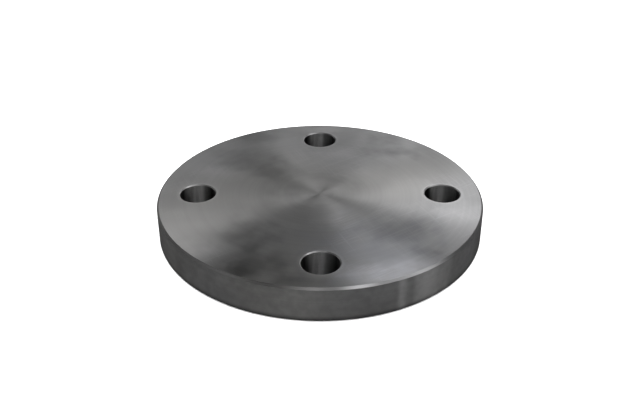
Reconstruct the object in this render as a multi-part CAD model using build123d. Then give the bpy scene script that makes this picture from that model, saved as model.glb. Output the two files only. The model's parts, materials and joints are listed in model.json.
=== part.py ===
"""Blind flange: a flat steel disc that is bolted over the open end of a flanged pipe.

It is one piece of turned steel. Both faces are flat and parallel, the rim is a plain
cylinder, and four through holes for the flange bolts lie evenly on the bolt circle.
The size is nominal pipe size 50 at 16 bar: four M16 bolts on a 125 mm circle.

The part lies on its back face. The origin is the middle of that face, +Z points up
through the disc, and the gasket face is on top.
"""

import os

from build123d import *

# Driving dimensions, in millimetres. The bolting comes first, because it has to match
# the pipe's own flange.
BOLT_CIRCLE_DIAMETER = 125.0
BOLT_HOLE_DIAMETER = 18.0
BOLT_HOLE_COUNT = 4
RIM_WALL = 11.0  # metal between a bolt hole and the rim
FLANGE_THICKNESS = 18.0

# Width of the 45 degree bevels that take the sharpness off the edges
RIM_BEVEL = 1.0
BOLT_HOLE_BEVEL = 0.5

# The disc reaches past the bolt holes by the rim wall: 165 mm across
FLANGE_DIAMETER = BOLT_CIRCLE_DIAMETER + BOLT_HOLE_DIAMETER + 2 * RIM_WALL


def turned_shape(side_radius, end_radius):
    """A round shape as tall as the flange, turned about the Z axis.

    At both ends a 45 degree cone leads from the side to the end radius: inwards for a
    solid with bevelled edges, outwards for a hole that is countersunk from both faces.
    """
    bevel = abs(side_radius - end_radius)
    half_section = Polyline(
        (0, 0),
        (end_radius, 0),
        (side_radius, bevel),
        (side_radius, FLANGE_THICKNESS - bevel),
        (end_radius, FLANGE_THICKNESS),
        (0, FLANGE_THICKNESS),
        close=True,
    )
    return revolve(Plane.XZ * make_face(half_section), Axis.Z)


def blind_flange():
    """The turned disc, drilled on the bolt circle with the first hole on +X."""
    rim_radius = FLANGE_DIAMETER / 2
    disc = turned_shape(rim_radius, rim_radius - RIM_BEVEL)

    bore_radius = BOLT_HOLE_DIAMETER / 2
    bolt_hole = turned_shape(bore_radius, bore_radius + BOLT_HOLE_BEVEL)
    bolt_places = PolarLocations(BOLT_CIRCLE_DIAMETER / 2, BOLT_HOLE_COUNT)
    return disc - [place * bolt_hole for place in bolt_places]


os.makedirs("parts", exist_ok=True)
export_step(blind_flange(), "parts/blind_flange.step")
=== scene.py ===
"""Dresses the blind flange: bare turned steel on a pale floor, in soft studio light.

The one CAD node keeps its shape. Its material shows what the lathe and the drill left on
it: fine circular tool marks on both faces and round the rim, and fine drill marks along the
bolt holes. Stains, rubbed spots and scratches lie over them. Painted light and shade lie
over them too: reflections on the rim, highlights on the bevels, a blue reflection on the
face, and shade in the bolt holes, at the foot and where the steel is seen edge on.
Everything is in metres, in the part's own frame.
"""

import json
from math import cos, pi, radians, sin, tan

import bpy
from mathutils import Matrix, Vector


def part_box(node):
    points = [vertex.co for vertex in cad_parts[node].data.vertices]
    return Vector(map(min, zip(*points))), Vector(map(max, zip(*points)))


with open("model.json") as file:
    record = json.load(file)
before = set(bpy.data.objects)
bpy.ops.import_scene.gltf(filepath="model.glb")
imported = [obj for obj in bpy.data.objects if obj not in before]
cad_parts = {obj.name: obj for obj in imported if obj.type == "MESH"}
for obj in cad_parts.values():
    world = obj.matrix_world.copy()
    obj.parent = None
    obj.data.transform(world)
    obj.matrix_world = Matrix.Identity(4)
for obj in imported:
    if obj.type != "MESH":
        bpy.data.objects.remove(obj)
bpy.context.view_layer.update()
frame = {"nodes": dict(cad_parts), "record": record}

# Sizes of the part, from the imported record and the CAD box
NODE = "blind_flange"
MM_PER_METRE = 1000
LOW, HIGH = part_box(NODE)
MIDDLE_HEIGHT = (LOW.z + HIGH.z) / 2
FLANGE_RADIUS = (HIGH.x - LOW.x) / 2
MOUNTS = {mount["name"]: mount for mount in frame["record"]["mounts"]}
BOLTING = MOUNTS["bolt_circle"]["dims"]
BOLT_CIRCLE_RADIUS = BOLTING["pcd_mm"] / 2 / MM_PER_METRE
BOLT_HOLE_RADIUS = BOLTING["hole_r_mm"] / MM_PER_METRE

# The photograph's camera, solved from the outline and the four holes. The frame and the
# focal length are in pixels, the sensor is in millimetres and the roll is in radians.
FRAME_WIDTH = 640
FOCAL_PIXELS = 846.6
SENSOR_WIDTH = 36.0
CLIP_START = 0.01
CAMERA_DISTANCE = 5.272 * FLANGE_RADIUS
CAMERA_ELEVATION = radians(30.1)
CAMERA_AZIMUTH = radians(-90.27)
CAMERA_ROLL = 0.0024
LOOK_AT = Vector((0, 0, 0.1706 * FLANGE_RADIUS))

# Soft lights round the disc: azimuth and elevation of the middle, half width and half
# height as angles, all in degrees, and radiance
LIGHT_DISTANCE = 3.0
SOFT_LIGHTS = {
    "top": (19, 65, 35, 8, 1.05),
    "front": (-90, 56, 26, 14, 1.4),
    "right": (-22, 15, 10, 14, 1.95),
    "right_back": (68, 28, 15, 6, 1.35),
    "back": (88, 13, 8, 8, 0.8),
    "back_strip": (104, 11, 5, 16, 0.36),
    "left_back": (135, 38, 17, 6, 1.75),
    "left_back_low": (121, 32, 17, 6, 0.5),
    "left": (180, 18, 26, 14, 0.17),
    "left_front": (-128, 18, 26, 14, 0.52),
}
WHITE = (1, 1, 1, 1)
SKY_LEVEL = 0.17
BACKDROP_LEVEL = 1.0

# The floor is lit from a wide sky of its own, which the steel doesn't mirror
FLOOR_SIZE = 60.0
FLOOR_TONE = 0.8
FLOOR_LIGHT = 8.0
FLOOR_LIGHT_SPREAD = radians(120)
FLOOR_MIRRORED_TONE = 0.055


def direction(azimuth, elevation):
    """Unit vector towards an azimuth, counted from +X, and an elevation, in radians."""
    level = cos(elevation)
    return Vector((level * cos(azimuth), level * sin(azimuth), sin(elevation)))


def aimed(view):
    """Rotation of a camera or a lamp that points along a direction, upright."""
    return view.to_track_quat("-Z", "Y").to_matrix().to_4x4()


def add(name, data, place=Matrix.Identity(4)):
    """Puts new data in the scene as an object."""
    made = bpy.data.objects.new(name, data)
    made.matrix_world = place
    bpy.context.scene.collection.objects.link(made)
    return made


class NodeTree:
    """Short ways to add and join the nodes of a material or of the sky."""

    def __init__(self, owner, shader="Principled BSDF"):
        owner.use_nodes = True
        self.tree = owner.node_tree
        self.shader = self.tree.nodes[shader]

    def join(self, socket, value):
        """Sets a socket to a number or vector, or links another node's output to it."""
        if isinstance(value, bpy.types.NodeSocket):
            self.tree.links.new(value, socket)
        else:
            socket.default_value = value

    def shade(self, name, value):
        """Sets or links an input of the shader."""
        self.join(self.shader.inputs[name], value)

    def node(self, kind, values, **settings):
        """Adds a node with its inputs, by name or number, and its settings."""
        made = self.tree.nodes.new(kind)
        for name, value in settings.items():
            setattr(made, name, value)
        for socket, value in values.items():
            self.join(made.inputs[socket], value)
        return made

    def math(self, operation, *values):
        values = dict(enumerate(values))
        return self.node("ShaderNodeMath", values, operation=operation).outputs[0]

    def sum(self, *values):
        total = values[0]
        for value in values[1:]:
            total = self.math("ADD", total, value)
        return total

    def minus(self, value, taken):
        return self.math("SUBTRACT", value, taken)

    def times(self, *values):
        total = values[0]
        for value in values[1:]:
            total = self.math("MULTIPLY", total, value)
        return total

    def length(self, x, y):
        return self.math("SQRT", self.sum(self.times(x, x), self.times(y, y)))

    def vector(self, x, y, z):
        return self.node("ShaderNodeCombineXYZ", {0: x, 1: y, 2: z}).outputs[0]

    def split(self, vector):
        return self.node("ShaderNodeSeparateXYZ", {0: vector}).outputs

    def vector_math(self, operation, values):
        return self.node("ShaderNodeVectorMath", values, operation=operation).outputs[0]

    def scaled(self, vector, share):
        return self.vector_math("SCALE", {0: vector, 3: share})

    def mix(self, share, without, fully):
        """A number between two others."""
        return self.node("ShaderNodeMix", {0: share, 2: without, 3: fully}).outputs[0]

    def mix_vector(self, share, without, fully):
        """A vector between two others."""
        values = {0: share, 4: without, 5: fully}
        return self.node("ShaderNodeMix", values, data_type="VECTOR").outputs[1]

    def ramp(self, value, start, end, low=0.0, high=1.0):
        """Runs smoothly from low to high as the value runs from start to end."""
        values = {0: value, 1: start, 2: end, 3: low, 4: high}
        return self.node("ShaderNodeMapRange", values, interpolation_type="SMOOTHSTEP").outputs[0]

    def noise(self, vector, scale=1.0, detail=2.0):
        """Noise about its middle, with features about one over the scale wide."""
        values = {"Vector": vector, "Scale": scale, "Detail": detail}
        return self.node("ShaderNodeTexNoise", values).outputs["Fac"]

    def swing(self, noise, share):
        """A tone that a noise makes darker or lighter by a share."""
        return self.ramp(noise, *NOISE_SPAN, 1 - share, 1 + share)

    def bump(self, height, depth, normal):
        """Normals of a surface that is raised by height, from 0 to 1, times depth in metres."""
        values = {"Height": height, "Distance": depth, "Strength": 1.0, "Normal": normal}
        return self.node("ShaderNodeBump", values).outputs[0]


def make_camera():
    """The photograph's camera, which shows colours as they are."""
    data = bpy.data.cameras.new("camera")
    data.sensor_width = SENSOR_WIDTH
    data.lens = FOCAL_PIXELS / FRAME_WIDTH * SENSOR_WIDTH
    data.clip_start = CLIP_START
    outward = direction(CAMERA_AZIMUTH, CAMERA_ELEVATION)
    place = Matrix.Translation(LOOK_AT + CAMERA_DISTANCE * outward)
    roll = Matrix.Rotation(CAMERA_ROLL, 4, "Z")
    bpy.context.scene.camera = add("camera", data, place @ aimed(-outward) @ roll)
    bpy.context.scene.view_settings.view_transform = "Standard"


def make_soft_light(name, azimuth, elevation, half_width, half_height, radiance):
    """A rectangular soft light that faces the disc."""
    data = bpy.data.lights.new(name, "AREA")
    data.shape = "RECTANGLE"
    data.size = 2 * LIGHT_DISTANCE * tan(radians(half_width))
    data.size_y = 2 * LIGHT_DISTANCE * tan(radians(half_height))
    data.energy = radiance * pi * data.size * data.size_y
    outward = direction(radians(azimuth), radians(elevation))
    add(name, data, Matrix.Translation(LIGHT_DISTANCE * outward) @ aimed(-outward))


def make_sky():
    """A dim, even sky. The camera sees it as a white backdrop."""
    world = bpy.data.worlds.new("sky")
    n = NodeTree(world, "Background")
    seen = n.node("ShaderNodeLightPath", {}).outputs["Is Camera Ray"]
    n.shade("Color", WHITE)
    n.shade("Strength", n.mix(seen, SKY_LEVEL, BACKDROP_LEVEL))
    bpy.context.scene.world = world


def make_lights():
    """The soft lights, the floor's own light and the sky."""
    for name, values in SOFT_LIGHTS.items():
        make_soft_light(name, *values)
    sun = bpy.data.lights.new("floor_light", "SUN")
    sun.energy = FLOOR_LIGHT
    sun.angle = FLOOR_LIGHT_SPREAD
    add("floor_light", sun).visible_glossy = False
    make_sky()


def make_floor():
    """A pale matt floor. In the steel's reflections it is darker, so that the rim stays dark."""
    bpy.ops.mesh.primitive_plane_add(size=FLOOR_SIZE)
    floor = bpy.context.object
    floor.name = "floor"
    material = bpy.data.materials.new("pale_floor")
    n = NodeTree(material)
    mirrored = n.node("ShaderNodeLightPath", {}).outputs["Is Glossy Ray"]
    n.shade("Base Color", n.mix(mirrored, FLOOR_TONE, FLOOR_MIRRORED_TONE))
    n.shade("Roughness", 1.0)
    n.shade("Specular IOR Level", 0.0)
    floor.data.materials.append(material)


# A flat face's normal points along Z by more than the first share, and a bevel's by more
# than the second. A bolt hole's bevel ends within the reach, counted from the hole's wall.
FACE_SLOPE = 0.9
EDGE_SLOPE = 0.4
HOLE_EDGE_REACH = 0.0015

# The noises vary about this middle, mostly within this span. A scale is one over the width
# of a noise's features, in metres, unless its comment says otherwise.
NOISE_MIDDLE = 0.5
NOISE_SPAN = (0.3, 0.7)

# Bare steel: how much light it mirrors, slightly warmer or cooler from place to place
STEEL_COLOR = (0.36, 0.36, 0.37)
WARM_TINT = (1.01, 1.0, 0.96)
COOL_TINT = (1.0, 1.0, 0.99)
TINT_SCALE = 14.0
TINT_SPAN = (0.35, 0.65)

# How rough each surface is. The faces stay above 0.274 everywhere, because the renderer's
# denoiser takes smoother metal for a mirror and draws worm-like traces on it. The tool marks
# blur a reflection across them and keep it sharp along them.
FACE_ROUGHNESS = 0.283
RIM_ROUGHNESS = 0.468
BORE_ROUGHNESS = 0.5
EDGE_ROUGHNESS = 0.4
TOOL_MARK_STRETCH = 0.82

# The tool's feed leaves saw-tooth marks on the faces, which lean outwards by this slope. A
# mark is an arc, about one over TOOL_MARK_ARC radians long, and the wider rings run all
# round. A swing is the share by which the tone varies. Towards the middle, where the steel
# passes the tool slowly, the cut is rougher, by up to the extra roughness.
TOOL_MARK_LEAN = 0.05
TOOL_MARK_WIDTH = 0.0009
TOOL_MARK_ARC = 0.6
TOOL_MARK_SWING = 0.02
RING_WIDTH = 0.004
RING_DEPTH = 0.00001
RING_SWING = 0.015
MIDDLE_RADIUS = 0.35 * FLANGE_RADIUS
MIDDLE_EXTRA_ROUGHNESS = 0.28

# Soft clouds over the whole part. The darker they are, the rougher.
CLOUD_SCALE = 45.0
CLOUD_SWING = 0.06
CLOUD_ROUGHNESS = 0.007

# Stains and rubbed spots on the gasket face: middle and half widths in flange radii, tone
STAINS = (
    (-0.52, 0.46, 0.26, 0.16, 0.76),
    (-0.62, 0.28, 0.18, 0.12, 1.2),
    (-0.30, 0.30, 0.20, 0.13, 0.72),
    (-0.17, 0.05, 0.18, 0.13, 0.8),
    (-0.16, -0.07, 0.16, 0.10, 0.84),
    (-0.36, -0.18, 0.18, 0.10, 0.88),
    (-0.06, -0.11, 0.10, 0.07, 1.35),
    (-0.42, -0.46, 0.20, 0.18, 0.65),
    (-0.63, -0.64, 0.18, 0.15, 1.42),
    (-0.38, -0.78, 0.30, 0.20, 0.6),
    (-0.08, -0.94, 0.26, 0.09, 0.78),
    (-0.49, -0.83, 0.14, 0.10, 0.62),
    (0.50, 0.56, 0.24, 0.12, 0.64),
    (0.50, 0.80, 0.26, 0.12, 0.66),
    (0.04, 0.92, 0.22, 0.07, 1.3),
    (-0.40, 0.80, 0.18, 0.13, 0.72),
    (0.05, 0.10, 0.16, 0.13, 1.22),
    (0.30, 0.24, 0.24, 0.14, 1.15),
    (0.10, 0.54, 0.16, 0.10, 1.2),
    (0.06, -0.32, 0.12, 0.10, 1.22),
    (0.47, -0.43, 0.26, 0.17, 0.73),
    (0.64, -0.66, 0.13, 0.11, 0.7),
    (0.49, -0.73, 0.13, 0.10, 1.12),
    (0.85, -0.26, 0.18, 0.16, 1.25),
    (0.35, -0.86, 0.34, 0.15, 1.48),
)

# A painted faint blue reflection at the front of the gasket face: middle and half widths, and
# tint
BLUE_REFLECTION_SPOT = (0.34, -0.66, 0.5, 0.4)
BLUE_REFLECTION_TINT = (0.985, 1.0, 1.035)

# How far a spot reaches, in half widths, and how ragged its edge is
SPOT_REACH = 1.2
SPOT_RAGGEDNESS = 1.6
SPOT_RAG_SCALE = 90.0

# Bands of painted reflection and shade up the rim's side, then bands of painted highlight
# and shade along its bevels: azimuth and half width in degrees, tone
RIM_SIDE_PAINTED_REFLECTIONS = (
    (-95.0, 9.0, 1.12),
    (-64.2, 2.2, 1.45),
    (-60.7, 2.4, 0.78),
    (-53.0, 6.0, 1.15),
    (-46.0, 4.0, 1.15),
    (-35.0, 8.0, 1.1),
    (-24.0, 8.0, 0.88),
    (-155.0, 12.0, 0.8),
    (-143.0, 6.0, 0.85),
)
# Bands of painted highlight and shade along the rim's bevels
RIM_EDGE_HIGHLIGHT_AND_SHADE = (
    (-145.0, 22.0, 0.42),
    (-104.0, 15.0, 0.38),
    (-87.0, 6.0, 0.75),
    (-78.0, 8.0, 2.2),
    (-58.0, 22.0, 2.1),
)

# The tone of the rim's bevels. Its side is mottled, with a darker line under the upper
# bevel, and both get painted shade towards the floor.
RIM_EDGE_TONE = 0.8
RIM_MOTTLE_WIDTH = 0.004
RIM_MOTTLE_SWING = 0.07
RIM_LINE_HEIGHT = 0.0022
RIM_LINE_TONE = 0.8
FOOT_SHADE_HEIGHT = 0.0036
FOOT_SHADE_TONE = 0.2

# A bolt hole's bevel has a painted highlight on its left side and painted shade on its right
# side. The span counts along X from the hole's own axis, in radii.
HOLE_EDGE_HIGHLIGHT_TONE = 2.1
HOLE_EDGE_SHADE_TONE = 0.6
HOLE_EDGE_SPAN = (-0.7, 0.1)

# The drill's burr, rubbed bright, in a narrow ring round each bolt hole
BURR_WIDTH = 0.0026
BURR_TONE = 1.22

# The drill left fine streaks along the bolt holes. Their scale counts in the hole's radii,
# and the rise, per metre, lets them change slowly with the height. Wide bands of painted
# shade darken the holes' side walls, placed like the rim's painted reflections, by azimuth
# about the hole's own axis.
BORE_TONE = 1.15
DRILL_MARK_SCALE = 5.0
DRILL_MARK_RISE = 12.0
DRILL_MARK_SWING = 0.15
BORE_PAINTED_SHADE = (
    (48.0, 22.0, 0.45),
    (66.0, 22.0, 0.4),
    (132.0, 20.0, 0.45),
)

# Steel that is seen at a grazing angle, on the rim and in the bolt holes, gets painted shade.
# The spans run from 0, where it is seen square on, to 1, where it is seen edge on.
RIM_GRAZING_SPAN = (0.75, 1.0)
RIM_GRAZING_SHADE = 0.35
BORE_GRAZING_SPAN = (0.2, 0.52)
BORE_GRAZING_SHADE = 0.12

# Fine straight scratches on the faces, in patches
SCRATCH_TURNS = (radians(35), radians(115))
SCRATCH_WIDTH = 0.0005
SCRATCH_LENGTH = 0.03
SCRATCH_SPAN = (0.62, 0.72)
SCRATCH_TONE = 1.13
SCRATCH_PATCH_SCALE = 28.0
SCRATCH_PATCH_SPAN = (0.52, 0.66)


def surface_masks(n):
    """Where each surface of the flange is: flat faces, bevelled edges and bolt holes."""
    place = n.node("ShaderNodeTexCoord", {}).outputs
    x, y, z = n.split(place["Object"])

    # The nearest bolt hole is on the X axis where x is larger than y, or else on the Y axis
    wide_x = n.math("GREATER_THAN", n.math("ABSOLUTE", x), n.math("ABSOLUTE", y))
    wide_y = n.minus(1.0, wide_x)
    from_bolt_x = n.minus(x, n.times(n.math("SIGN", x), wide_x, BOLT_CIRCLE_RADIUS))
    from_bolt_y = n.minus(y, n.times(n.math("SIGN", y), wide_y, BOLT_CIRCLE_RADIUS))
    from_bolt = n.length(from_bolt_x, from_bolt_y)
    near_bolt = n.math("LESS_THAN", from_bolt, BOLT_HOLE_RADIUS + HOLE_EDGE_REACH)

    slope = n.math("ABSOLUTE", n.split(place["Normal"])[2])
    on_face = n.math("GREATER_THAN", slope, FACE_SLOPE)
    off_face = n.minus(1.0, on_face)
    on_edge = n.times(n.math("GREATER_THAN", slope, EDGE_SLOPE), off_face)
    in_hole = n.times(near_bolt, off_face)

    # The marks run round the hole's axis in a bolt hole, and round the flange's elsewhere
    axis_x = n.mix(in_hole, x, from_bolt_x)
    axis_y = n.mix(in_hole, y, from_bolt_y)
    radius = n.length(axis_x, axis_y)
    ragged = n.minus(n.noise(place["Object"], SPOT_RAG_SCALE), NOISE_MIDDLE)
    return {
        "position": place["Object"],
        "x": x,
        "y": y,
        "z": z,
        "out_x": n.math("DIVIDE", axis_x, radius),
        "out_y": n.math("DIVIDE", axis_y, radius),
        "azimuth": n.math("ARCTAN2", axis_y, axis_x),
        "radius": radius,
        "across": n.mix(on_face, z, radius),
        "on_face": on_face,
        "on_top": n.times(on_face, n.math("GREATER_THAN", z, MIDDLE_HEIGHT)),
        "ragged": n.times(ragged, SPOT_RAGGEDNESS),
        "in_bore": n.times(in_hole, n.minus(1.0, on_edge)),
        "on_edge": on_edge,
        "from_bolt": from_bolt,
        "near_bolt": near_bolt,
        "on_rim": n.times(off_face, n.minus(1.0, near_bolt)),
    }


def spot(n, m, x, y, half_x, half_y):
    """Share of an oval spot with ragged edges on the gasket face, in flange radii."""
    from_x = n.minus(m["x"], x * FLANGE_RADIUS)
    from_y = n.minus(m["y"], y * FLANGE_RADIUS)
    across_x = n.times(from_x, 1 / (half_x * FLANGE_RADIUS))
    across_y = n.times(from_y, 1 / (half_y * FLANGE_RADIUS))
    away = n.sum(n.length(across_x, across_y), m["ragged"])
    return n.times(m["on_top"], n.ramp(away, SPOT_REACH, 0.0))


def stain_tone(n, m):
    """Darker stains and paler rubbed spots on the gasket face."""
    tone = 1.0
    for *oval, spot_tone in STAINS:
        tone = n.times(n.mix(spot(n, m, *oval), 1.0, spot_tone), tone)
    return tone


def painted_band_tone(n, m, painted_bands):
    """Bands of painted light and shade that run up a round wall, by azimuth."""
    tone = 1.0
    for middle, half_width, band_tone in painted_bands:
        away = n.math("ABSOLUTE", n.minus(m["azimuth"], radians(middle)))
        tone = n.times(n.ramp(away, radians(half_width), 0.0, 1.0, band_tone), tone)
    return tone


def rim_tone(n, m):
    """Painted reflections and highlights on the rim and its bevels, the mottling, the upper line,
    and painted shade at the foot.
    """
    below_top = n.minus(HIGH.z, m["z"])
    above_foot = n.minus(m["z"], LOW.z)
    side = n.times(
        # Bands of painted reflection and shade up the rim's side
        painted_band_tone(n, m, RIM_SIDE_PAINTED_REFLECTIONS),
        n.ramp(below_top, 0.0, RIM_LINE_HEIGHT, RIM_LINE_TONE, 1.0),
        n.swing(n.noise(m["position"], 1 / RIM_MOTTLE_WIDTH), RIM_MOTTLE_SWING),
    )
    # Painted highlights and shade along the bevels
    edge = painted_band_tone(n, m, RIM_EDGE_HIGHLIGHT_AND_SHADE)
    # Painted shade at the foot, darkest next to the floor
    foot_shade = n.ramp(above_foot, 0.0, FOOT_SHADE_HEIGHT, FOOT_SHADE_TONE, 1.0)
    return n.mix(m["on_rim"], 1.0, n.times(n.mix(m["on_edge"], side, edge), foot_shade))


def bore_tone(n, m):
    """Fine drill marks along the bolt holes, and wide bands of painted shade."""
    wall = n.vector(m["out_x"], m["out_y"], n.times(m["z"], DRILL_MARK_RISE))
    drilled = n.swing(n.noise(wall, DRILL_MARK_SCALE, detail=3.0), DRILL_MARK_SWING)
    # The wide bands are painted shade on the holes' side walls
    return n.mix(m["in_bore"], 1.0, n.times(BORE_TONE, drilled, painted_band_tone(n, m, BORE_PAINTED_SHADE)))


def edge_tone(n, m):
    """Tones of the rim's bevels, and the painted highlight and shade of the bolt holes' bevels.
    """
    hole_edge_light = n.ramp(m["out_x"], *HOLE_EDGE_SPAN, HOLE_EDGE_HIGHLIGHT_TONE, HOLE_EDGE_SHADE_TONE)
    return n.mix(m["on_edge"], 1.0, n.mix(m["near_bolt"], RIM_EDGE_TONE, hole_edge_light))


def grazing_shade(n, m):
    """Paints shade on the rim's far sides and the side walls of the bolt holes."""
    facing = n.node("ShaderNodeLayerWeight", {}).outputs["Facing"]
    rim = n.ramp(facing, *RIM_GRAZING_SPAN, 1.0, RIM_GRAZING_SHADE)
    bore = n.ramp(facing, *BORE_GRAZING_SPAN, 1.0, BORE_GRAZING_SHADE)
    return n.times(n.mix(m["on_rim"], 1.0, rim), n.mix(m["in_bore"], 1.0, bore))


def burr_tone(n, m):
    """The bright ring round each bolt hole, where the face meets the bevel."""
    outside = BOLT_HOLE_RADIUS + BURR_WIDTH
    ring = n.ramp(m["from_bolt"], outside, BOLT_HOLE_RADIUS, 1.0, BURR_TONE)
    return n.mix(m["on_face"], 1.0, ring)


def scratch_tone(n, m):
    """Brightens the faces where they are scratched."""
    scratched = 0.0
    for turn in SCRATCH_TURNS:
        along = n.sum(n.times(m["x"], cos(turn)), n.times(m["y"], sin(turn)))
        aside = n.sum(n.times(m["x"], -sin(turn)), n.times(m["y"], cos(turn)))

        # The turn is also the third coordinate, so that each direction has its own noise
        stretched = n.vector(
            n.times(along, 1 / SCRATCH_LENGTH),
            n.times(aside, 1 / SCRATCH_WIDTH),
            turn,
        )
        lines = n.ramp(n.noise(stretched, detail=0.0), *SCRATCH_SPAN)
        scratched = n.math("MAXIMUM", lines, scratched)
    patches = n.ramp(n.noise(m["position"], SCRATCH_PATCH_SCALE, detail=1.0), *SCRATCH_PATCH_SPAN)
    return n.mix(n.times(scratched, patches, m["on_face"]), 1.0, SCRATCH_TONE)


def tool_mark_tone(n, m):
    """Arcs about the axis, narrow across and long along the cut."""
    arcs = n.vector(
        n.times(m["out_x"], TOOL_MARK_ARC),
        n.times(m["out_y"], TOOL_MARK_ARC),
        n.times(m["across"], 1 / TOOL_MARK_WIDTH),
    )
    return n.swing(n.noise(arcs, detail=0.5), TOOL_MARK_SWING)


def tinted_steel(tint):
    """The steel's colour with a slight tint."""
    return tuple(share * part for share, part in zip(STEEL_COLOR, tint))


def steel_color(n, m, rings, clouds):
    """What the steel mirrors, with its own marks and the painted light and shade that make it
    darker, lighter or tinted.
    """
    tone = n.times(
        bore_tone(n, m),
        edge_tone(n, m),
        tool_mark_tone(n, m),
        n.swing(rings, RING_SWING),
        n.swing(clouds, CLOUD_SWING),
        stain_tone(n, m),
        rim_tone(n, m),
        grazing_shade(n, m),
        burr_tone(n, m),
        scratch_tone(n, m),
    )
    cool = n.ramp(n.noise(m["position"], TINT_SCALE, detail=1.0), *TINT_SPAN)
    tinted = n.mix_vector(cool, tinted_steel(WARM_TINT), tinted_steel(COOL_TINT))
    # A faint blue reflection is painted at the front of the gasket face
    tinted = n.mix_vector(spot(n, m, *BLUE_REFLECTION_SPOT), tinted, tinted_steel(BLUE_REFLECTION_TINT))
    return n.scaled(tinted, tone)


def steel_roughness(n, m, clouds):
    """How rough the faces, the rim, the bolt holes and the bevels are."""
    middle = n.ramp(m["radius"], 0.0, MIDDLE_RADIUS, MIDDLE_EXTRA_ROUGHNESS, 0.0)
    roughness = n.mix(m["on_face"], RIM_ROUGHNESS, n.sum(middle, FACE_ROUGHNESS))
    roughness = n.mix(m["in_bore"], roughness, BORE_ROUGHNESS)
    roughness = n.mix(m["on_edge"], roughness, EDGE_ROUGHNESS)
    return n.sum(roughness, n.ramp(clouds, *NOISE_SPAN, CLOUD_ROUGHNESS, -CLOUD_ROUGHNESS))


def steel_normal(n, m, outward, rings):
    """Normals that lean outwards on the faces and follow the rings."""
    plain = n.node("ShaderNodeNewGeometry", {}).outputs["Normal"]
    lean = n.scaled(outward, n.times(m["on_face"], TOOL_MARK_LEAN))
    leaning = n.vector_math("ADD", {0: plain, 1: lean})
    return n.bump(rings, RING_DEPTH, n.vector_math("NORMALIZE", {0: leaning}))


def turned_steel():
    """The flange's one material."""
    material = bpy.data.materials.new("lathe_turned_steel")
    n = NodeTree(material)
    m = surface_masks(n)
    outward = n.vector(m["out_x"], m["out_y"], 0.0)
    upward = (0, 0, 1)
    rings = n.noise(n.vector(0.0, 0.0, m["across"]), 1 / RING_WIDTH)
    clouds = n.noise(m["position"], CLOUD_SCALE, detail=1.0)
    n.shade("Base Color", steel_color(n, m, rings, clouds))
    n.shade("Metallic", 1.0)
    n.shade("Roughness", steel_roughness(n, m, clouds))
    n.shade("Anisotropic", TOOL_MARK_STRETCH)
    n.shade("Tangent", n.mix_vector(m["on_face"], upward, outward))
    n.shade("Normal", steel_normal(n, m, outward, rings))
    return material


def dress_flange():
    steel = turned_steel()
    for slot in frame["nodes"][NODE].material_slots:
        slot.material = steel


make_camera()
make_floor()
make_lights()
dress_flange()
